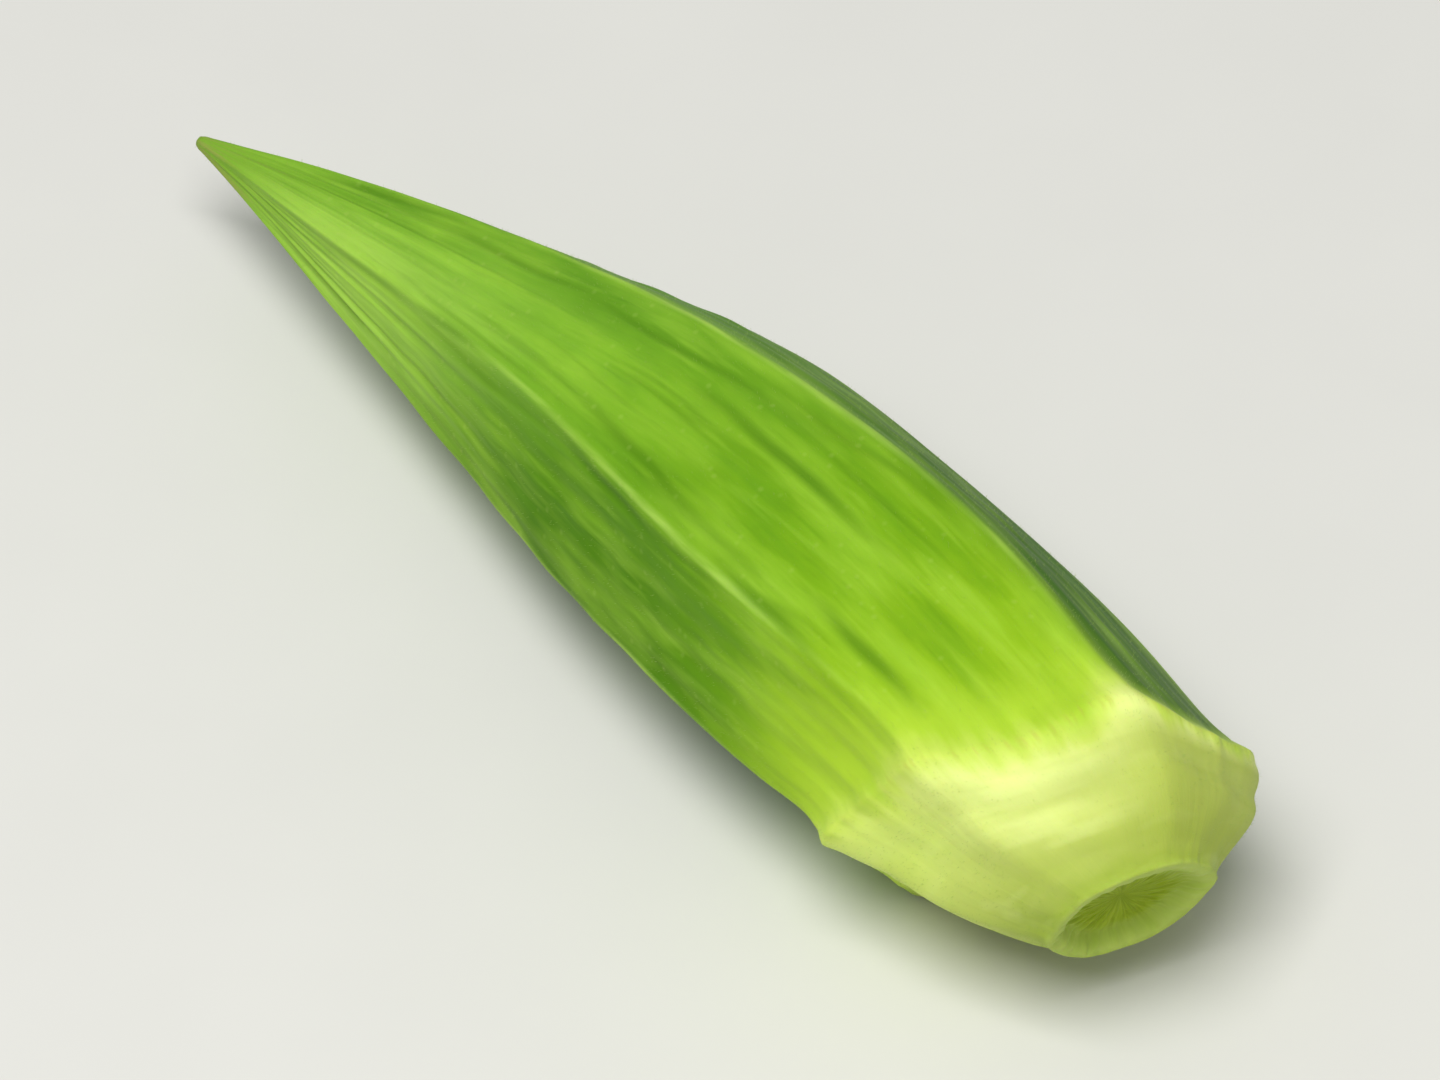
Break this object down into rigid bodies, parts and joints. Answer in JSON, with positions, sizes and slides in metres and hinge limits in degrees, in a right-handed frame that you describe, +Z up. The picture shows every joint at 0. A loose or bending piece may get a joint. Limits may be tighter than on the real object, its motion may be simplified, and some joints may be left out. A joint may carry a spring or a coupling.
{
  "type": "okra pod",
  "caption": "Fresh okra pod lying on its side: ridged, tapering green body with a pale cap and a short cut stem.",
  "frame": {"origin": "on the surface that the pod lies on, under the middle of its bounding box", "axes": "+X runs from the pointed tip to the cut stem, +Z is up, and the pod bows towards +Y"},
  "size_m": [0.0808, 0.0216, 0.0198],
  "materials": {
    "pod_skin": "soft satin plant skin with fine fuzz, green body fading to a pale cream-green cap"
  },
  "bodies": {
    "root": {"okra_pod": "pod_skin"}
  },
  "joints": []
}
